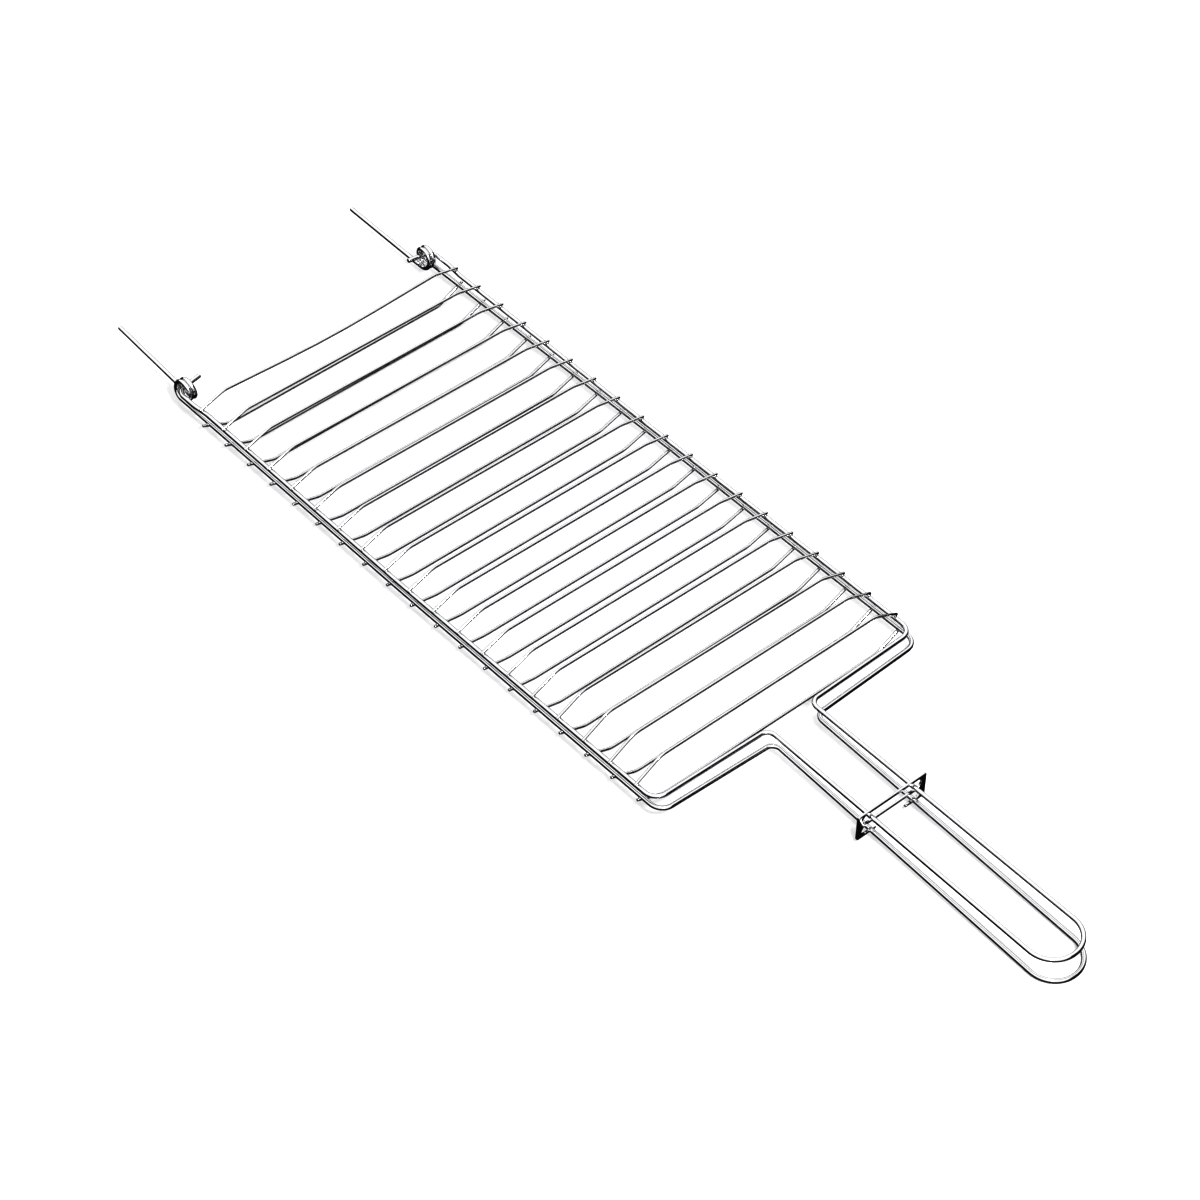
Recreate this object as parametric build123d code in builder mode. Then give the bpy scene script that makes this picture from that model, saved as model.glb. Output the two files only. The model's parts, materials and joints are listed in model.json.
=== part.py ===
from build123d import *
import math
import os

os.makedirs("parts", exist_ok=True)

# Frame: +X along the length toward the handle, +Y across, +Z up, millimetres.
# Lengths below run from the hinge axis, heights from the foot of the coils.

# Wire stock
ROD_D = 4.0
BAR_D = 2.5
WELD_BITE = 0.15

# Coil eyes of the lower frame, wound about the hinge axis
COIL_R = 8.5
COIL_PITCH = 4.3
COIL_TURNS = 2
COIL_OUTER_Y = 134.2
LEG_Y = COIL_OUTER_Y - COIL_TURNS * COIL_PITCH

# Straight legs that run on from the coils
LEG_LENGTH = 97.5
LEG_RISE_LEFT = 5.5
LEG_RISE_RIGHT = 1.5
LEG_BEND_X = 9.0
LEG_BEND_R = 40.0

# Lower frame
LOW_MID_Y = 136.6
LOW_CORNER_Y = 136.4
LOW_CORNER_X = 598.3
LOW_NECK_X = 602.0
LOW_NECK_Z = -0.6
LOW_END_X = 903.0
LOW_END_Z = -17.25

# Upper frame
UP_HINGE_Y = 137.4
UP_HINGE_Z = 9.6
UP_FIRST_Y = 135.8
UP_FIRST_Z = 9.7
UP_MID_Y = 136.6
UP_MID_Z = 6.4
UP_CORNER_Y = 136.4
UP_CORNER_X = 591.6
UP_CORNER_Z = 7.6
UP_NECK_X = 595.0
UP_NECK_Z = 9.0
UP_END_X = 899.5
UP_END_Z = 4.2

# Shared by both frames
MID_X = 284.5
CORNER_R = 12.0
NECK_R = 8.0
NECK_Y = 22.2
END_Y = 23.8
END_R = 23.5
SOFT_R = 150.0

# Pegs of the upper frame that sit in the coil eyes
PEG_BEND_R = 8.5
PEG_X = -0.7
PEG_TIP_X = -3.2
PEG_TIP_Y = 112.5
PEG_TIP_Z = 11.9

# Crossbars
BARS = 19
BAR_PITCH = 30.0
UP_BAR_X = 31.7
LOW_BAR_X = 36.5
UP_BAR_HALF = 139.0
LOW_BAR_HALF = 140.3
KNEE_Y = 113.5
KNEE_R = 20.0
UP_FIRST_SAG = 6.0
SAG_R = 900.0
LOW_FLAT = -13.5

# Heights of the crossbars' left and right knees at a few bar numbers, even between them
UP_KNEES = [
    (1, 20.2, 18.2),
    (4, 19.5, 16.5),
    (10, 18.0, 13.9),
    (13, 18.6, 14.6),
    (17, 24.0, 19.2),
    (19, 24.8, 23.4),
]
LOW_KNEES = [
    (1, LOW_FLAT, LOW_FLAT),
    (5, -9.6, -11.9),
    (9, -7.7, -10.4),
    (12, -6.3, -9.3),
    (14, -6.8, -9.7),
    (16, -12.0, -13.0),
    (19, -14.0, -15.0),
]

# Sliding clip, a slotted plate across the handles
CLIP_X = 707.8
CLIP_T = 2.0
CLIP_HALF_Y = 36.0
CLIP_TOP = 14.4
CLIP_BOTTOM = -11.4
CLIP_CORNER_R = 2.0
SLOT_HALF_Y = 31.0
UP_SLOT_TOP = 11.5
UP_SLOT_BOTTOM = 2.7
LOW_SLOT_TOP = 0.2
LOW_SLOT_BOTTOM = -8.8
THROAT_HALF_Y = 15.5
HOOK_R = 1.0

END_ROUND = 0.5

# The closed basket rests on its first lower crossbar and on the lower handle's end
REST_DROP = LOW_FLAT - BAR_D / 2 - LOW_END_Z + ROD_D / 2
REST_TILT = math.atan2(REST_DROP, LOW_END_X - LOW_BAR_X)
TILT_COS = math.cos(REST_TILT)
TILT_SIN = math.sin(REST_TILT)
HINGE_X = -403.7
BASE_Z = BAR_D / 2 - LOW_FLAT * TILT_COS - LOW_BAR_X * TILT_SIN


def at(x, y, z):
    """Resting place of a point given by length, width and height."""
    return Vector(HINGE_X + x * TILT_COS - z * TILT_SIN, y, BASE_Z + x * TILT_SIN + z * TILT_COS)


def rounded_run(points, radii):
    """Lines through points with a tangent arc at every inner one."""
    start = points[0]
    for before, corner, after, radius in zip(points, points[1:], points[2:], radii):
        back = (before - corner).normalized()
        ahead = (after - corner).normalized()
        half = math.acos(back.dot(ahead)) / 2
        inward = (back + ahead).normalized()
        arc_in = corner + back * (radius / math.tan(half))
        arc_out = corner + ahead * (radius / math.tan(half))
        arc_mid = corner + inward * (radius / math.sin(half) - radius)
        Line(start, arc_in)
        ThreePointArc(arc_in, arc_mid, arc_out)
        start = arc_out
    Line(start, points[-1])


# Lower frame: side rods, near corners and handle loop
low_half = [
    at(0, -COIL_OUTER_Y, 0),
    at(MID_X, -LOW_MID_Y, 0),
    at(LOW_CORNER_X, -LOW_CORNER_Y, 0),
    at(LOW_NECK_X, -NECK_Y, LOW_NECK_Z),
    at(LOW_END_X, -END_Y, LOW_END_Z),
]
low_radii = [SOFT_R, CORNER_R, NECK_R, END_R]
with BuildPart() as bottom_frame:
    with BuildLine() as low_run:
        mirrored = [Vector(p.X, -p.Y, p.Z) for p in low_half[::-1]]
        rounded_run(low_half + mirrored, low_radii + low_radii[::-1])
    with BuildSketch(Plane(low_run.line @ 0, z_dir=low_run.line % 0)):
        Circle(ROD_D / 2)
    sweep(path=low_run.line)
bottom_frame.part.label = "bottom_frame"
export_step(bottom_frame.part, "parts/bottom_frame.step")

# Hinge eyes: the same rod runs on into a leg and a coil of tilted half circles
for name, side, rise in (("left_eye", -1, LEG_RISE_LEFT), ("right_eye", 1, LEG_RISE_RIGHT)):
    tip_z = math.tan(math.radians(rise)) * (LEG_LENGTH - LEG_BEND_X)
    leg_tip = at(-LEG_LENGTH, side * LEG_Y, tip_z)
    leg_bend = at(-LEG_BEND_X, side * LEG_Y, 0)
    reach = math.hypot(COIL_R, COIL_PITCH / 4)
    with BuildPart() as eye:
        with BuildLine() as eye_run:
            rounded_run([leg_tip, leg_bend, at(0, side * LEG_Y, 0)], [LEG_BEND_R])
            for turn in range(COIL_TURNS):
                y = LEG_Y + turn * COIL_PITCH
                low = at(0, side * y, 0)
                high = at(0, side * (y + COIL_PITCH / 2), 2 * COIL_R)
                next_low = at(0, side * (y + COIL_PITCH), 0)
                ThreePointArc(low, at(reach, side * (y + COIL_PITCH / 4), COIL_R), high)
                ThreePointArc(high, at(-reach, side * (y + COIL_PITCH * 3 / 4), COIL_R), next_low)
        with BuildSketch(Plane(eye_run.line @ 0, z_dir=eye_run.line % 0)):
            Circle(ROD_D / 2)
        sweep(path=eye_run.line)
        leg_end = eye.faces().filter_by(GeomType.PLANE).sort_by(Axis.X)[0]
        fillet(leg_end.edges(), END_ROUND)
    eye.part.label = name
    export_step(eye.part, f"parts/{name}.step")

# Upper frame: peg, bend, side, near corner, handle loop and back, one rod
up_half = [
    at(PEG_TIP_X, -PEG_TIP_Y, PEG_TIP_Z),
    at(PEG_X, -UP_HINGE_Y, UP_HINGE_Z),
    at(22.0, -UP_HINGE_Y, UP_HINGE_Z),
    at(38.0, -UP_FIRST_Y, UP_FIRST_Z),
    at(MID_X, -UP_MID_Y, UP_MID_Z),
    at(UP_CORNER_X, -UP_CORNER_Y, UP_CORNER_Z),
    at(UP_NECK_X, -NECK_Y, UP_NECK_Z),
    at(UP_END_X, -END_Y, UP_END_Z),
]
up_radii = [PEG_BEND_R, 30.0, 30.0, SOFT_R, CORNER_R, NECK_R, END_R]
with BuildPart() as top_frame:
    with BuildLine() as up_run:
        mirrored = [Vector(p.X, -p.Y, p.Z) for p in up_half[::-1]]
        rounded_run(up_half + mirrored, up_radii + up_radii[::-1])
    with BuildSketch(Plane(up_run.line @ 0, z_dir=up_run.line % 0)):
        Circle(ROD_D / 2)
    sweep(path=up_run.line)
    fillet(top_frame.faces().filter_by(GeomType.PLANE).edges(), END_ROUND)
top_frame.part.label = "top_frame"
export_step(top_frame.part, "parts/top_frame.step")


def crossbar(x, rod_y, rod_z, knees, half_length, sag):
    """Crossbar welded across both side rods, with a raised or dropped middle."""
    up = 1 if knees[0] > rod_z else -1
    touch = (ROD_D + BAR_D) / 2 - WELD_BITE
    ends = []
    for side, knee_z in ((-1, knees[0]), (1, knees[1])):
        lift = up * (knee_z - rod_z)
        run = math.hypot(rod_y - KNEE_Y, lift)
        slope = math.atan2(lift, rod_y - KNEE_Y) - math.asin(touch / run)
        end_z = knee_z - up * (half_length - KNEE_Y) * math.tan(slope)
        ends.append([at(x, side * half_length, end_z), at(x, side * KNEE_Y, knee_z)])
    middle = [at(x, 0, sum(knees) / 2 - sag)] if sag else []
    radii = [KNEE_R, SAG_R, KNEE_R] if sag else [KNEE_R, KNEE_R]
    with BuildPart() as bar:
        with BuildLine() as bar_run:
            rounded_run(ends[0] + middle + ends[1][::-1], radii)
        with BuildSketch(Plane(bar_run.line @ 0, z_dir=bar_run.line % 0)):
            Circle(BAR_D / 2)
        sweep(path=bar_run.line)
        fillet(bar.faces().filter_by(GeomType.PLANE).edges(), END_ROUND)
    return bar.part


def between(stations, place):
    """The two values that belong to a place, from stations of (place, value, value)."""
    for (place_a, ya, za), (place_b, yb, zb) in zip(stations, stations[1:]):
        if place <= place_b:
            share = (place - place_a) / (place_b - place_a)
            return ya + (yb - ya) * share, za + (zb - za) * share
    return stations[-1][1:]


low_stations = [
    (0.0, COIL_OUTER_Y, 0.0),
    (MID_X, LOW_MID_Y, 0.0),
    (LOW_CORNER_X, LOW_CORNER_Y, 0.0),
]
up_stations = [
    (22.0, UP_HINGE_Y, UP_HINGE_Z),
    (38.0, UP_FIRST_Y, UP_FIRST_Z),
    (MID_X, UP_MID_Y, UP_MID_Z),
    (UP_CORNER_X, UP_CORNER_Y, UP_CORNER_Z),
]

# Crossbars of both frames, numbered from the hinge to the handle
for number in range(1, BARS + 1):
    low_x = LOW_BAR_X + (number - 1) * BAR_PITCH
    low_y, low_z = between(low_stations, low_x)
    low_bar = crossbar(low_x, low_y, low_z, between(LOW_KNEES, number), LOW_BAR_HALF, 0)
    low_bar.label = f"bottom_bar_{number:02d}"
    export_step(low_bar, f"parts/{low_bar.label}.step")

    up_x = UP_BAR_X + (number - 1) * BAR_PITCH
    up_y, up_z = between(up_stations, up_x)
    sag = UP_FIRST_SAG if number == 1 else 0
    up_bar = crossbar(up_x, up_y, up_z, between(UP_KNEES, number), UP_BAR_HALF, sag)
    up_bar.label = f"top_bar_{number:02d}"
    export_step(up_bar, f"parts/{up_bar.label}.step")


def slot(top, bottom, half_y):
    """Long slot with full round ends, in clip sketch coordinates."""
    with Locations((0, (top + bottom) / 2)):
        SlotOverall(2 * half_y, top - bottom, mode=Mode.SUBTRACT)


# Clip: one closed slot for the upper handle, one hooked slot for the lower
clip_back = at(CLIP_X - CLIP_T / 2, 0, 0)
clip_plane = Plane(clip_back, x_dir=(0, 1, 0), z_dir=(TILT_COS, 0, TILT_SIN))
with BuildPart() as clip:
    with BuildSketch(clip_plane):
        with Locations((0, (CLIP_TOP + CLIP_BOTTOM) / 2)):
            RectangleRounded(2 * CLIP_HALF_Y, CLIP_TOP - CLIP_BOTTOM, CLIP_CORNER_R)
        slot(UP_SLOT_TOP, UP_SLOT_BOTTOM, SLOT_HALF_Y)
        slot(LOW_SLOT_TOP, LOW_SLOT_BOTTOM, SLOT_HALF_Y)
        with Locations((0, (CLIP_BOTTOM + LOW_SLOT_BOTTOM) / 2)):
            Rectangle(
                2 * THROAT_HALF_Y,
                LOW_SLOT_BOTTOM - CLIP_BOTTOM + 0.2,
                mode=Mode.SUBTRACT,
            )
    extrude(amount=CLIP_T)
    hook_edges = clip.edges().filter_by(
        lambda e: abs(e.length - CLIP_T) < 0.01 and abs(abs(e.center().Y) - THROAT_HALF_Y) < 0.1
    )
    fillet(hook_edges, HOOK_R)
clip.part.label = "clip"
export_step(clip.part, "parts/clip.step")
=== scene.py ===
import json
import math
import random

import bmesh
import bpy
from mathutils import Matrix, Vector, noise


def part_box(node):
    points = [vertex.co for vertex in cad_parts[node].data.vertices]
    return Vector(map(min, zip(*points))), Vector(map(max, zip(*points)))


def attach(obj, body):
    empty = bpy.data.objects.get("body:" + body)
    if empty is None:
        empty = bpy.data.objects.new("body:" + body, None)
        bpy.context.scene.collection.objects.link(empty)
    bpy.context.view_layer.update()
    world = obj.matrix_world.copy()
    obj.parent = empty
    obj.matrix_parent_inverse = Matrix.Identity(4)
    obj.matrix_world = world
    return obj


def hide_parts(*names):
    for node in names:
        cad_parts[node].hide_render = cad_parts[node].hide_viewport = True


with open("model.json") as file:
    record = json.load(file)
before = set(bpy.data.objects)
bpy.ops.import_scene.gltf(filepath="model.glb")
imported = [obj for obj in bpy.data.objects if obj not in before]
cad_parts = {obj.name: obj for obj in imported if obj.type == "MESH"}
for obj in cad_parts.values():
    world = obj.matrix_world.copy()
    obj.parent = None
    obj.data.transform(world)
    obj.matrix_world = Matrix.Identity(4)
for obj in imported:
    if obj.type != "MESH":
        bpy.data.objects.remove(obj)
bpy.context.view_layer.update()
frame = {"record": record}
joints = {j["name"]: j for j in frame["record"]["behaviour"]["joints"]}
MM = 0.001

# Wire stock and hinge coils, millimetres
ROD_R = 2.0
BAR_R = 1.25
COIL_R = 8.5
COIL_PITCH = 4.3
COIL_TURNS = 2
COIL_OUTER_Y = 134.2

# The closed basket rests on its first lower bar and the handle's end, so it tilts a little:
# the handle's underside hangs lower than the bar's, further along
REST_DROP = 4.5
REST_RUN = 866.5
REST_TILT = math.atan2(REST_DROP, REST_RUN)
TILT = Matrix.Rotation(-REST_TILT, 4, "Y")
# Lengths count from the hinge axis, heights from the foot of the coils
HINGE = Vector(joints["grate_hinge"]["pos_m"]) / MM
FOOT = HINGE - TILT @ Vector((0, 0, COIL_R))

# Runs of the two frames: (length from the hinge axis, half-width, height, bend radius)
LEG_Y = COIL_OUTER_Y - COIL_TURNS * COIL_PITCH
LEG_LENGTH = 97.5
LEG_BEND_X = 9.0
LEG_BEND_R = 40.0
LEG_RISE = {-1: 5.5, 1: 1.5}
LOW_HALF = [
    (0.0, COIL_OUTER_Y, 0.0, 0.0),
    (284.5, 136.6, 0.0, 150.0),
    (598.3, 136.4, 0.0, 12.0),
    (602.0, 22.2, -0.6, 8.0),
    (903.0, 23.8, -17.25, 23.5),
]
UP_HALF = [
    (-3.2, 112.5, 11.9, 0.0),
    (-0.7, 137.4, 9.6, 8.5),
    (22.0, 137.4, 9.6, 30.0),
    (38.0, 135.8, 9.7, 30.0),
    (284.5, 136.6, 6.4, 150.0),
    (591.6, 136.4, 7.6, 12.0),
    (595.0, 22.2, 9.0, 8.0),
    (899.5, 23.8, 4.2, 23.5),
]
BARS = 19
KNEE_Y = 113.5
KNEE_R = 20.0
WELD_BITE = 0.15
FIRST_SAG = 6.0
SAG_R = 900.0
UP_BAR_HALF = 139.0
LOW_BAR_HALF = 140.3
# Heights of the crossbars' left and right knees at a few bar numbers, even between them
UP_KNEES = [
    (1, 20.2, 18.2),
    (4, 19.5, 16.5),
    (10, 18.0, 13.9),
    (13, 18.6, 14.6),
    (17, 24.0, 19.2),
    (19, 24.8, 23.4),
]
LOW_KNEES = [
    (1, -13.5, -13.5),
    (5, -9.6, -11.9),
    (9, -7.7, -10.4),
    (12, -6.3, -9.3),
    (14, -6.8, -9.7),
    (16, -12.0, -13.0),
    (19, -14.0, -15.0),
]
END_ROUND = 0.5

# Meshing: longest straight step and shortest gap kept, millimetres, and sides of each wire
STEP = 12.0
SMALLEST_GAP = 0.02
BAR_SIDES = 16
ROD_SIDES = 24
UV_STEP = 100.0
END_SHARES = [0.0, 0.35, 0.7, 1.0]

# Weld bead: half sizes along the rod, across it and out of it, and how uneven it is
WELD_SIZE = Vector((1.75, 1.6, 0.75))
WELD_SPREAD = 0.08
WELD_SWELL = 0.12
WELD_ROWS = 7
WELD_COLS = 16
HEAT_REACH = 8.0
HEAT_SPREAD = 2.6
rng = random.Random(11)


def at(x, y, z):
    """Resting place of a point given by length, width and height."""
    return FOOT + TILT @ Vector((x, y, z))


def measured(point):
    """Length, width and height of a resting point."""
    return TILT.inverted() @ (point - FOOT)


def swing(centre, first, second, angle, step_deg):
    """Points on the circle from centre + first towards centre + second, start left out."""
    count = max(2, math.ceil(math.degrees(angle) / step_deg))
    turns = [angle * k / count for k in range(1, count + 1)]
    return [centre + first * math.cos(turn) + second * math.sin(turn) for turn in turns]


def rounded_run(points, radii, step_deg=5.0):
    """Points along straight runs joined by tangent arcs."""
    run = [points[0]]
    for before, corner, after, radius in zip(points, points[1:], points[2:], radii):
        back = (before - corner).normalized()
        ahead = (after - corner).normalized()
        half = back.angle(ahead) / 2
        arc_in = corner + back * (radius / math.tan(half))
        centre = corner + (back + ahead).normalized() * (radius / math.sin(half))
        run.append(arc_in)
        run += swing(centre, arc_in - centre, back * -radius, math.pi - 2 * half, step_deg)
    run.append(points[-1])
    return run


def coil_run(side, step_deg=6.0):
    """Coil from the foot of the side rod inward to the foot of the leg."""
    shift = COIL_PITCH / 2
    reach = Vector((math.hypot(COIL_R, COIL_PITCH / 4), 0, 0))
    run = []
    y = COIL_OUTER_Y
    for _ in range(COIL_TURNS):
        for reach_sign, rise in ((-1, 1), (1, -1)):
            centre = at(0, side * (y - shift / 2), COIL_R)
            first = Vector((0, side * shift / 2, -rise * COIL_R))
            run += swing(centre, first, reach * reach_sign, math.pi, step_deg)
            y -= shift
    return run


def tidy_run(run):
    """Drops points that repeat, and splits long straight runs."""
    clean = [run[0]]
    for point in run[1:]:
        gap = (point - clean[-1]).length
        if gap < SMALLEST_GAP:
            continue
        parts = math.ceil(gap / STEP)
        start = clean[-1]
        clean += [start.lerp(point, k / parts) for k in range(1, parts + 1)]
    return clean


def add_tube(bm, run, radius, sides, layers):
    """Sweeps a round wire along run, with softly rounded cut ends."""
    uv = layers[0]
    run = tidy_run(run)
    tangents = []
    for k in range(len(run)):
        before = run[max(k - 1, 0)]
        after = run[min(k + 1, len(run) - 1)]
        tangents.append((after - before).normalized())
    normal = tangents[0].orthogonal().normalized()
    rings = []
    length = 0.0

    def ring(centre, tangent, normal, r, along):
        across = tangent.cross(normal)
        verts = []
        for k in range(sides):
            turn = 2 * math.pi * k / sides
            offset = normal * math.cos(turn) * r + across * math.sin(turn) * r
            verts.append(bm.verts.new((centre + offset) * MM))
        rings.append((verts, along))

    def rounding(share):
        """Radius and distance from the wire's end at a share of the rounded edge."""
        turn = share * math.pi / 2
        return radius - END_ROUND * (1 - math.sin(turn)), END_ROUND * (1 - math.cos(turn))

    for share in END_SHARES:
        r, back = rounding(share)
        ring(run[0] + tangents[0] * back, tangents[0], normal, r, 0.0)
    previous = tangents[0]
    for k in range(1, len(run) - 1):
        turn_by = previous.rotation_difference(tangents[k])
        normal = (turn_by @ normal).normalized()
        previous = tangents[k]
        length += (run[k] - run[k - 1]).length
        ring(run[k], tangents[k], normal, radius, length)
    normal = (previous.rotation_difference(tangents[-1]) @ normal).normalized()
    length += (run[-1] - run[-2]).length
    for share in reversed(END_SHARES):
        r, back = rounding(share)
        ring(run[-1] - tangents[-1] * back, tangents[-1], normal, r, length)

    for (low, s0), (high, s1) in zip(rings, rings[1:]):
        for k in range(sides):
            nxt = (k + 1) % sides
            face = bm.faces.new((low[k], low[nxt], high[nxt], high[k]))
            face.smooth = True
            corners = [(s0, k), (s0, k + 1), (s1, k + 1), (s1, k)]
            for loop, (along, around) in zip(face.loops, corners):
                loop[uv].uv = (along / UV_STEP, around / sides)
    for verts, flip in ((rings[0][0], True), (rings[-1][0], False)):
        face = bm.faces.new(verts[::-1] if flip else verts)
        face.smooth = False


def add_weld(bm, centre, normal, along, layers):
    """Small irregular bead squeezed out where two wires are welded."""
    uv, heat = layers
    across = normal.cross(along).normalized()
    size = WELD_SIZE * rng.uniform(1 - WELD_SPREAD, 1 + WELD_SPREAD)
    seed = Vector((rng.uniform(0, 50), rng.uniform(0, 50), 0))
    grid = []
    for i in range(1, WELD_ROWS):
        tilt = math.pi * i / WELD_ROWS
        line = []
        for k in range(WELD_COLS):
            turn = 2 * math.pi * k / WELD_COLS
            flat = math.sin(tilt)
            d = Vector((flat * math.cos(turn), flat * math.sin(turn), math.cos(tilt)))
            swell = 1 + WELD_SWELL * noise.noise(d * 1.4 + seed)
            offset = along * d.x * size.x + across * d.y * size.y + normal * d.z * size.z
            v = bm.verts.new((centre + offset * swell) * MM)
            v[heat] = 1.0
            line.append(v)
        grid.append(line)
    poles = []
    for sign in (1, -1):
        v = bm.verts.new((centre + normal * size.z * sign) * MM)
        v[heat] = 1.0
        poles.append(v)
    faces = []
    for upper, lower in zip(grid, grid[1:]):
        for k in range(WELD_COLS):
            nxt = (k + 1) % WELD_COLS
            faces.append(bm.faces.new((upper[k], lower[k], lower[nxt], upper[nxt])))
    for k in range(WELD_COLS):
        nxt = (k + 1) % WELD_COLS
        faces.append(bm.faces.new((poles[0], grid[0][k], grid[0][nxt])))
        faces.append(bm.faces.new((poles[1], grid[-1][nxt], grid[-1][k])))
    for face in faces:
        face.smooth = True
        for loop in face.loops:
            loop[uv].uv = (loop.vert.co.y, loop.vert.co.z)


def new_layers(bm):
    return bm.loops.layers.uv.new("wire"), bm.verts.layers.float.new("heat")


def warm(bm, layers, spots):
    """Marks how near each point is to a weld, for heat tint."""
    heat = layers[1]
    for v in bm.verts:
        p = v.co / MM
        near = 0.0
        for spot in spots:
            if abs(p.x - spot.x) < HEAT_REACH and abs(p.y - spot.y) < HEAT_REACH:
                fall = (p - spot).length ** 2 / (2 * HEAT_SPREAD**2)
                near = max(near, math.exp(-fall))
        v[heat] = max(v[heat], near)


def make_object(name, bm, material):
    bmesh.ops.recalc_face_normals(bm, faces=bm.faces)
    mesh = bpy.data.meshes.new(name)
    bm.to_mesh(mesh)
    bm.free()
    mesh.materials.append(material)
    piece = bpy.data.objects.new(name, mesh)
    bpy.context.scene.collection.objects.link(piece)
    return piece


# Materials: plated wire and plated sheet, worked out at real scale


def plated(name, tint, rough, line_scale, line_depth, warm_tint):
    """Bright plated steel: drawn lines, slow thickness drift, specks and heat tint."""
    mat = bpy.data.materials.new(name)
    mat.use_nodes = True
    tree = mat.node_tree
    tree.nodes.clear()
    new, link = tree.nodes.new, tree.links.new
    out = new("ShaderNodeOutputMaterial")
    shader = new("ShaderNodeBsdfPrincipled")
    link(shader.outputs["BSDF"], out.inputs["Surface"])
    shader.inputs["Metallic"].default_value = 1.0
    shader.inputs["IOR"].default_value = 2.0

    coords = new("ShaderNodeTexCoord")
    lines_uv = new("ShaderNodeUVMap")
    lines_uv.uv_map = "wire"
    stretch = new("ShaderNodeMapping")
    stretch.inputs["Scale"].default_value = line_scale
    link(lines_uv.outputs["UV"], stretch.inputs["Vector"])
    lines = new("ShaderNodeTexNoise")
    lines.inputs["Scale"].default_value = 1.0
    lines.inputs["Detail"].default_value = 3.0
    link(stretch.outputs["Vector"], lines.inputs["Vector"])

    drift = new("ShaderNodeTexNoise")
    drift.inputs["Scale"].default_value = 45.0
    drift.inputs["Detail"].default_value = 4.0
    link(coords.outputs["Object"], drift.inputs["Vector"])

    specks = new("ShaderNodeTexNoise")
    specks.inputs["Scale"].default_value = 900.0
    specks.inputs["Detail"].default_value = 2.0
    link(coords.outputs["Object"], specks.inputs["Vector"])
    pits = new("ShaderNodeMapRange")
    pits.inputs["From Min"].default_value = 0.66
    pits.inputs["From Max"].default_value = 0.78
    link(specks.outputs["Fac"], pits.inputs["Value"])

    heat = new("ShaderNodeAttribute")
    heat.attribute_name = "heat"

    ramp = new("ShaderNodeValToRGB")
    ramp.color_ramp.elements[0].position = 0.3
    ramp.color_ramp.elements[0].color = (*[c * 0.93 for c in tint], 1)
    ramp.color_ramp.elements[1].position = 0.7
    ramp.color_ramp.elements[1].color = (*tint, 1)
    link(drift.outputs["Fac"], ramp.inputs["Fac"])
    warmed = new("ShaderNodeMix")
    warmed.data_type = "RGBA"
    warm_share = new("ShaderNodeMath")
    warm_share.operation = "MULTIPLY"
    warm_share.inputs[1].default_value = 0.5
    link(heat.outputs["Fac"], warm_share.inputs[0])
    link(warm_share.outputs[0], warmed.inputs["Factor"])
    link(ramp.outputs["Color"], warmed.inputs["A"])
    warmed.inputs["B"].default_value = (*warm_tint, 1)
    dulled = new("ShaderNodeMix")
    dulled.data_type = "RGBA"
    pit_share = new("ShaderNodeMath")
    pit_share.operation = "MULTIPLY"
    pit_share.inputs[1].default_value = 0.35
    link(pits.outputs["Result"], pit_share.inputs[0])
    link(pit_share.outputs[0], dulled.inputs["Factor"])
    link(warmed.outputs["Result"], dulled.inputs["A"])
    dulled.inputs["B"].default_value = (0.42, 0.42, 0.43, 1)
    link(dulled.outputs["Result"], shader.inputs["Base Color"])

    base_rough = new("ShaderNodeMapRange")
    base_rough.inputs["To Min"].default_value = rough * 0.6
    base_rough.inputs["To Max"].default_value = rough * 1.5
    link(lines.outputs["Fac"], base_rough.inputs["Value"])
    hot_rough = new("ShaderNodeMath")
    hot_rough.operation = "MULTIPLY_ADD"
    hot_rough.inputs[1].default_value = 0.22
    link(heat.outputs["Fac"], hot_rough.inputs[0])
    link(base_rough.outputs["Result"], hot_rough.inputs[2])
    pit_rough = new("ShaderNodeMath")
    pit_rough.operation = "MULTIPLY_ADD"
    pit_rough.inputs[1].default_value = 0.25
    link(pits.outputs["Result"], pit_rough.inputs[0])
    link(hot_rough.outputs[0], pit_rough.inputs[2])
    link(pit_rough.outputs[0], shader.inputs["Roughness"])

    wavy = new("ShaderNodeBump")
    wavy.inputs["Strength"].default_value = 0.25
    wavy.inputs["Distance"].default_value = 0.0001
    link(drift.outputs["Fac"], wavy.inputs["Height"])
    drawn = new("ShaderNodeBump")
    drawn.inputs["Strength"].default_value = 0.35
    drawn.inputs["Distance"].default_value = line_depth
    link(lines.outputs["Fac"], drawn.inputs["Height"])
    link(wavy.outputs["Normal"], drawn.inputs["Normal"])
    link(drawn.outputs["Normal"], shader.inputs["Normal"])
    return mat


rod_metal = plated(
    "plated_rod",
    tint=(0.90, 0.90, 0.91),
    rough=0.07,
    line_scale=(0.6, 42.0, 1.0),
    line_depth=4e-6,
    warm_tint=(0.52, 0.46, 0.38),
)
bar_metal = plated(
    "plated_bar",
    tint=(0.88, 0.88, 0.89),
    rough=0.08,
    line_scale=(0.8, 30.0, 1.0),
    line_depth=4e-6,
    warm_tint=(0.50, 0.44, 0.36),
)
sheet_metal = plated(
    "plated_sheet",
    tint=(0.87, 0.87, 0.88),
    rough=0.10,
    line_scale=(6.0, 260.0, 1.0),
    line_depth=3e-6,
    warm_tint=(0.6, 0.56, 0.5),
)


def rod_at(half, x):
    """Centre and direction of a side rod on the right-hand side at length x."""
    for (xa, ya, za, _), (xb, yb, zb, _) in zip(half, half[1:]):
        if xa <= x <= xb and xb - xa > 1:
            share = (x - xa) / (xb - xa)
            centre = Vector((x, ya + (yb - ya) * share, za + (zb - za) * share))
            return centre, Vector((xb - xa, yb - ya, zb - za)).normalized()
    raise ValueError(f"no side rod at {x}")


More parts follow.
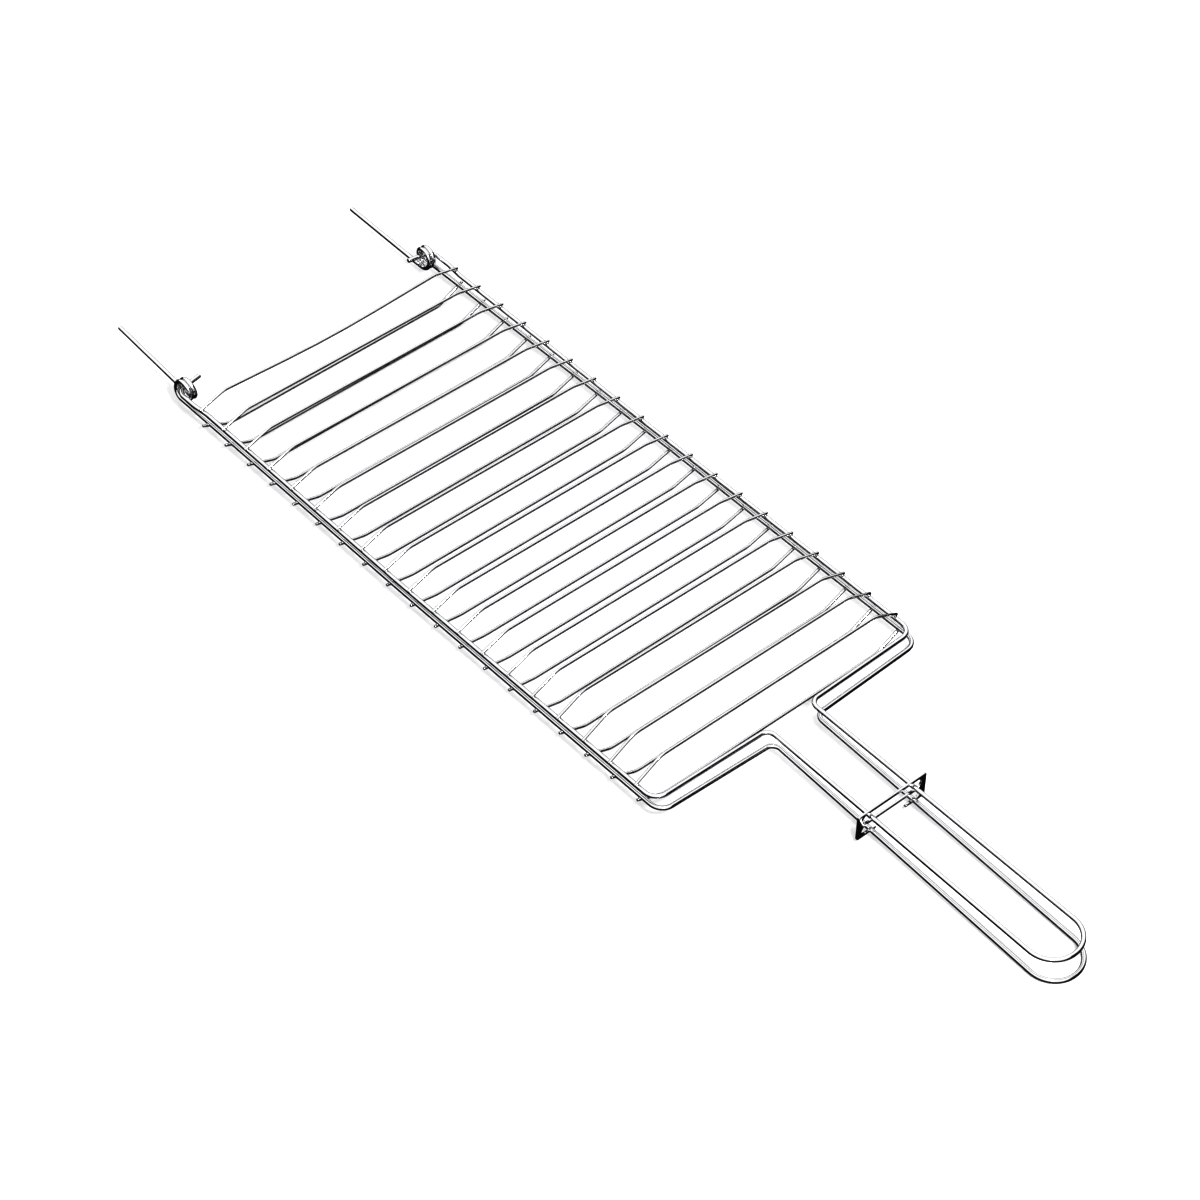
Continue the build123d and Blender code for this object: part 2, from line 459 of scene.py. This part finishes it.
# Crossbars, each placed by its CAD node's own box


def knee_heights(stations, number):
    """Left and right knee heights of a numbered crossbar."""
    for (na, left_a, right_a), (nb, left_b, right_b) in zip(stations, stations[1:]):
        if number <= nb:
            share = (number - na) / (nb - na)
            return left_a + (left_b - left_a) * share, right_a + (right_b - right_a) * share
    raise ValueError(f"no crossbar {number}")


def crossbar(number, upper):
    """Builds one crossbar with its two weld beads, and returns the weld spots."""
    node = f"top_bar_{number:02d}" if upper else f"bottom_bar_{number:02d}"
    low, high = (measured(corner / MM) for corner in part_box(node))
    x = (low.x + high.x) / 2
    rod, along = rod_at(UP_HALF if upper else LOW_HALF, x)
    up = 1 if upper else -1
    half_length = UP_BAR_HALF if upper else LOW_BAR_HALF
    knees = knee_heights(UP_KNEES if upper else LOW_KNEES, number)
    touch = ROD_R + BAR_R - WELD_BITE
    ends, leans = [], []
    for side, knee_z in ((-1, knees[0]), (1, knees[1])):
        lift = up * (knee_z - rod.z)
        reach = math.hypot(rod.y - KNEE_Y, lift)
        slope = math.atan2(lift, rod.y - KNEE_Y) - math.asin(touch / reach)
        end_z = knee_z - up * (half_length - KNEE_Y) * math.tan(slope)
        ends.append([at(x, side * half_length, end_z), at(x, side * KNEE_Y, knee_z)])
        leans.append(TILT @ Vector((0, side * math.sin(slope), up * math.cos(slope))))
    middle, radii = [], [KNEE_R, KNEE_R]
    if upper and number == 1:
        middle, radii = [at(x, 0, sum(knees) / 2 - FIRST_SAG)], [KNEE_R, SAG_R, KNEE_R]
    bm = bmesh.new()
    layers = new_layers(bm)
    run = rounded_run(ends[0] + middle + ends[1][::-1], radii, step_deg=3.0)
    add_tube(bm, run, BAR_R, BAR_SIDES, layers)
    spots = []
    for side, lean in zip((-1, 1), leans):
        centre = at(rod.x, side * rod.y, rod.z)
        spot = centre + lean * (ROD_R - WELD_BITE / 2)
        rod_way = Vector((along.x, side * along.y, along.z)).normalized()
        add_weld(bm, spot, lean, rod_way, layers)
        spots.append(spot)
    warm(bm, layers, spots)
    piece = make_object(f"{node}_wire", bm, bar_metal)
    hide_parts(node)
    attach(piece, "upper_grate" if upper else "lower_grate")
    return spots


low_spots = []
up_spots = []
for number in range(1, BARS + 1):
    low_spots += crossbar(number, False)
    up_spots += crossbar(number, True)


# Frames, one rod each


def frame_rod(name, frame_nodes, body, run, spots):
    """Builds one frame's rod, warmed where the crossbars are welded to it."""
    bm = bmesh.new()
    layers = new_layers(bm)
    add_tube(bm, run, ROD_R, ROD_SIDES, layers)
    warm(bm, layers, spots)
    piece = make_object(name, bm, rod_metal)
    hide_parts(*frame_nodes)
    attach(piece, body)


def half_points(half, side):
    """One side's corner points, from the hinge to the handle's end."""
    return [at(x, side * y, z) for x, y, z, _ in half]


def leg_points(side):
    """Corner points of a leg, from its tip to the foot of the coil."""
    tip_z = math.tan(math.radians(LEG_RISE[side])) * (LEG_LENGTH - LEG_BEND_X)
    return [
        at(-LEG_LENGTH, side * LEG_Y, tip_z),
        at(-LEG_BEND_X, side * LEG_Y, 0),
        at(0, side * LEG_Y, 0),
    ]


low_radii = [r for _, _, _, r in LOW_HALF[1:]]
low_run = rounded_run(leg_points(-1), [LEG_BEND_R])
low_run += coil_run(-1)[::-1]
low_run += rounded_run(
    half_points(LOW_HALF, -1) + half_points(LOW_HALF, 1)[::-1],
    low_radii + low_radii[::-1],
)
low_run += coil_run(1)
low_run += rounded_run(leg_points(1)[::-1], [LEG_BEND_R])
low_nodes = ("bottom_frame", "left_eye", "right_eye")
frame_rod("lower_frame_rod", low_nodes, "lower_grate", low_run, low_spots)

up_radii = [r for _, _, _, r in UP_HALF[1:]]
up_run = rounded_run(
    half_points(UP_HALF, -1) + half_points(UP_HALF, 1)[::-1],
    up_radii + up_radii[::-1],
)
frame_rod("upper_frame_rod", ("top_frame",), "upper_grate", up_run, up_spots)


# Clip: punched plate with rolled edges

CLIP_EDGE = 0.35
CLIP_CORNER_R = 2.0
SLOT_HALF = 31.0
THROAT_HALF = 15.5
HOOK_R = 1.0
CLIP_X = 707.8
CLIP_T = 2.0
CLIP_HALF_Y = 36.0
CLIP_BOTTOM = -11.4
CLIP_TOP = 14.4
UP_SLOT = (2.7, 11.5)
LOW_SLOT = (-8.8, 0.2)
SLOT_END_STEPS = 24
CLIP_SHARP_DEG = 35.0


def corner_arc(cx, cz, r, start_deg, end_deg, count=8):
    """Points along an arc in the plate's plane, both ends included."""
    out = []
    for k in range(count + 1):
        turn = math.radians(start_deg + (end_deg - start_deg) * k / count)
        out.append((cx + r * math.cos(turn), cz + r * math.sin(turn)))
    return out


def clip_outline():
    """Anticlockwise in (Y, Z): plate edge, throat and the hooked lower slot in one."""
    r = CLIP_CORNER_R
    hw, top, bottom = CLIP_HALF_Y, CLIP_TOP, CLIP_BOTTOM
    slot_r = (LOW_SLOT[1] - LOW_SLOT[0]) / 2
    slot_mid = (LOW_SLOT[0] + LOW_SLOT[1]) / 2
    end = SLOT_HALF - slot_r
    pts = corner_arc(hw - r, top - r, r, 0, 90)
    pts += corner_arc(-hw + r, top - r, r, 90, 180)
    pts += corner_arc(-hw + r, bottom + r, r, 180, 270)
    pts += corner_arc(-THROAT_HALF - HOOK_R, bottom + HOOK_R, HOOK_R, 270, 360)
    pts += corner_arc(-THROAT_HALF - HOOK_R, LOW_SLOT[0] - HOOK_R, HOOK_R, 0, 90)
    pts += corner_arc(-end, slot_mid, slot_r, 270, 90, SLOT_END_STEPS)
    pts += corner_arc(end, slot_mid, slot_r, 90, -90, SLOT_END_STEPS)
    pts += corner_arc(THROAT_HALF + HOOK_R, LOW_SLOT[0] - HOOK_R, HOOK_R, 90, 180)
    pts += corner_arc(THROAT_HALF + HOOK_R, bottom + HOOK_R, HOOK_R, 180, 270)
    pts += corner_arc(hw - r, bottom + r, r, 270, 360)
    return pts


def clip_slot():
    """Outline of the closed upper slot."""
    slot_r = (UP_SLOT[1] - UP_SLOT[0]) / 2
    slot_mid = (UP_SLOT[0] + UP_SLOT[1]) / 2
    end = SLOT_HALF - slot_r
    pts = corner_arc(end, slot_mid, slot_r, -90, 90, SLOT_END_STEPS)
    return pts + corner_arc(-end, slot_mid, slot_r, 90, 270, SLOT_END_STEPS)


outline = bpy.data.curves.new("clip_outline", "CURVE")
outline.dimensions = "2D"
outline.fill_mode = "BOTH"
outline.extrude = (CLIP_T / 2 - CLIP_EDGE) * MM
outline.bevel_depth = CLIP_EDGE * MM
outline.bevel_resolution = 3
outline.offset = -CLIP_EDGE * MM
for loop_points in (clip_outline(), clip_slot()):
    spline = outline.splines.new("POLY")
    spline.points.add(len(loop_points) - 1)
    for point, (y, z) in zip(spline.points, loop_points):
        point.co = (y * MM, z * MM, 0, 1)
    spline.use_cyclic_u = True
holder = bpy.data.objects.new("clip_holder", outline)
bpy.context.scene.collection.objects.link(holder)
bpy.context.view_layer.update()
drawn = holder.evaluated_get(bpy.context.evaluated_depsgraph_get())
flat_mesh = bpy.data.meshes.new_from_object(drawn)
bpy.data.objects.remove(holder)
bm = bmesh.new()
bm.from_mesh(flat_mesh)
bmesh.ops.remove_doubles(bm, verts=bm.verts, dist=2e-6)
# The outline is drawn in (X, Y); it stands up into (Y, Z) across the handles
stand = Matrix(((0, 0, 1, 0), (1, 0, 0, 0), (0, 1, 0, 0), (0, 0, 0, 1)))
bm.transform(Matrix.Translation(at(CLIP_X, 0, 0) * MM) @ TILT @ stand)
plate_layers = new_layers(bm)
bm.normal_update()
for face in bm.faces:
    face.smooth = abs(face.normal.x) < 0.99
    for loop in face.loops:
        loop[plate_layers[0]].uv = (loop.vert.co.y * 10, loop.vert.co.z * 10)
clip_piece = make_object("clip_plate", bm, sheet_metal)
clip_piece.data.set_sharp_from_angle(angle=math.radians(CLIP_SHARP_DEG))
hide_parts("clip")
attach(clip_piece, "clip")


# Floor, light and camera


def floor_material():
    """Pale floor; glossy rays see a dark emission instead, a painted dark reflection in the
    wires.
    """
    mat = bpy.data.materials.new("pale_floor_painted_reflection")
    mat.use_nodes = True
    tree = mat.node_tree
    tree.nodes.clear()
    new, link = tree.nodes.new, tree.links.new
    out = new("ShaderNodeOutputMaterial")
    pale = new("ShaderNodeBsdfDiffuse")
    pale.inputs["Color"].default_value = (0.93, 0.93, 0.93, 1)
    # Painted reflection: this dark emission is seen only by glossy rays, so the wires mirror
    # darkness where the floor is pale.
    painted_reflection_dark = new("ShaderNodeEmission")
    painted_reflection_dark.inputs["Color"].default_value = (0.012, 0.012, 0.013, 1)
    ray = new("ShaderNodeLightPath")
    mix = new("ShaderNodeMixShader")
    link(ray.outputs["Is Glossy Ray"], mix.inputs["Fac"])
    link(pale.outputs[0], mix.inputs[1])
    link(painted_reflection_dark.outputs[0], mix.inputs[2])
    link(mix.outputs[0], out.inputs["Surface"])
    return mat


FLOOR_HALF = 6.0
floor_mesh = bpy.data.meshes.new("floor")
floor_mesh.from_pydata(
    [(sx * FLOOR_HALF, sy * FLOOR_HALF, 0) for sx, sy in ((-1, -1), (1, -1), (1, 1), (-1, 1))],
    [],
    [(0, 1, 2, 3)],
)
floor_mesh.materials.append(floor_material())
floor = bpy.data.objects.new("floor", floor_mesh)
bpy.context.scene.collection.objects.link(floor)

# Painted dark reflection below an edge, seen only by glossy rays: (heading, sine of its top
# edge's elevation, sharpness)
PAINTED_DARK_EDGE = 0.05
PAINTED_DARK_SIDES = (
    (math.radians(-121), 0.32, 2.0),
    (math.radians(42), 0.72, 4.0),
)


def painted_dark_edge(tree, heading):
    """Socket with the sine of the painted dark reflection's top edge, which rises towards each
    dark side.
    """
    new, link = tree.nodes.new, tree.links.new
    horizon = None
    for side_heading, side_rise, sharpness in PAINTED_DARK_SIDES:
        facing = new("ShaderNodeVectorMath")
        facing.operation = "DOT_PRODUCT"
        facing.inputs[1].default_value = (math.cos(side_heading), math.sin(side_heading), 0)
        link(heading, facing.inputs[0])
        toward_it = new("ShaderNodeMath")
        toward_it.operation = "MAXIMUM"
        toward_it.inputs[1].default_value = 0.0
        link(facing.outputs["Value"], toward_it.inputs[0])
        spread = new("ShaderNodeMath")
        spread.operation = "POWER"
        spread.inputs[1].default_value = sharpness
        link(toward_it.outputs[0], spread.inputs[0])
        raised = new("ShaderNodeMath")
        raised.operation = "MULTIPLY_ADD"
        raised.inputs[1].default_value = side_rise
        raised.inputs[2].default_value = PAINTED_DARK_EDGE
        link(spread.outputs[0], raised.inputs[0])
        if horizon is not None:
            link(horizon, raised.inputs[2])
        horizon = raised.outputs[0]
    return horizon


def white_dome_painted_reflection():
    """White sky for every ray but reflections, which see a painted dark reflection below an
    edge.
    """
    world = bpy.data.worlds.new("studio")
    bpy.context.scene.world = world
    world.use_nodes = True
    tree = world.node_tree
    tree.nodes.clear()
    new, link = tree.nodes.new, tree.links.new
    direction = new("ShaderNodeTexCoord")
    split = new("ShaderNodeSeparateXYZ")
    link(direction.outputs["Generated"], split.inputs["Vector"])
    level = new("ShaderNodeVectorMath")
    level.operation = "MULTIPLY"
    level.inputs[1].default_value = (1, 1, 0)
    link(direction.outputs["Generated"], level.inputs[0])
    heading = new("ShaderNodeVectorMath")
    heading.operation = "NORMALIZE"
    link(level.outputs["Vector"], heading.inputs[0])
    above_it = new("ShaderNodeMath")
    above_it.operation = "SUBTRACT"
    link(split.outputs["Z"], above_it.inputs[0])
    link(painted_dark_edge(tree, heading.outputs["Vector"]), above_it.inputs[1])
    edge = new("ShaderNodeMapRange")
    edge.interpolation_type = "SMOOTHSTEP"
    edge.inputs["From Min"].default_value = -0.03
    edge.inputs["From Max"].default_value = 0.05
    edge.inputs["To Min"].default_value = 0.01
    edge.inputs["To Max"].default_value = 1.0
    link(above_it.outputs[0], edge.inputs["Value"])
    # Painted reflection: glossy rays see the dark below the edge, and every other ray sees the
    # white sky.
    ray = new("ShaderNodeLightPath")
    seen = new("ShaderNodeMix")
    link(ray.outputs["Is Glossy Ray"], seen.inputs["Factor"])
    seen.inputs["A"].default_value = 1.0
    link(edge.outputs["Result"], seen.inputs["B"])
    dome = new("ShaderNodeBackground")
    dome.inputs["Color"].default_value = (1, 1, 1, 1)
    link(seen.outputs["Result"], dome.inputs["Strength"])
    out = new("ShaderNodeOutputWorld")
    link(dome.outputs[0], out.inputs["Surface"])


white_dome_painted_reflection()

KEY_PLACE = Vector((1.2, -0.5, 1.75))
KEY_SIZE = 0.45
KEY_WATTS = 26.0
key_data = bpy.data.lights.new("key", "AREA")
key_data.shape = "DISK"
key_data.size = KEY_SIZE
key_data.energy = KEY_WATTS
key = bpy.data.objects.new("key", key_data)
key.location = KEY_PLACE
key.rotation_euler = (-KEY_PLACE).to_track_quat("-Z", "Y").to_euler()
bpy.context.scene.collection.objects.link(key)

CAM_AZIMUTH = -42.718
CAM_ELEVATION = 46.082
CAM_ROLL = 1.798
CAM_DISTANCE = 3.1112
CAM_TARGET = Vector((-0.00269, -0.02313, 0.01664))
CAM_LENS = 117.43
SENSOR = 36.0


def add_camera():
    """Camera at the photo's angle, given by heading, height and roll about its target."""
    azimuth, elevation, roll = (math.radians(v) for v in (CAM_AZIMUTH, CAM_ELEVATION, CAM_ROLL))
    level = math.cos(elevation)
    toward = Vector((level * math.cos(azimuth), level * math.sin(azimuth), math.sin(elevation)))
    right = (-toward).cross(Vector((0, 0, 1))).normalized()
    above = right.cross(-toward)
    rolled_right = right * math.cos(roll) + above * math.sin(roll)
    rolled_above = above * math.cos(roll) - right * math.sin(roll)
    turn = Matrix((rolled_right, rolled_above, toward)).transposed().to_4x4()
    lens = bpy.data.cameras.new("camera")
    lens.sensor_width = SENSOR
    lens.lens = CAM_LENS
    lens.clip_start = 0.1
    lens.clip_end = 50.0
    camera = bpy.data.objects.new("camera", lens)
    camera.matrix_world = Matrix.Translation(CAM_TARGET + toward * CAM_DISTANCE) @ turn
    bpy.context.scene.collection.objects.link(camera)
    bpy.context.scene.camera = camera


add_camera()
view = bpy.context.scene.view_settings
view.view_transform = "Standard"
view.exposure = 0.2
view.gamma = 0.62
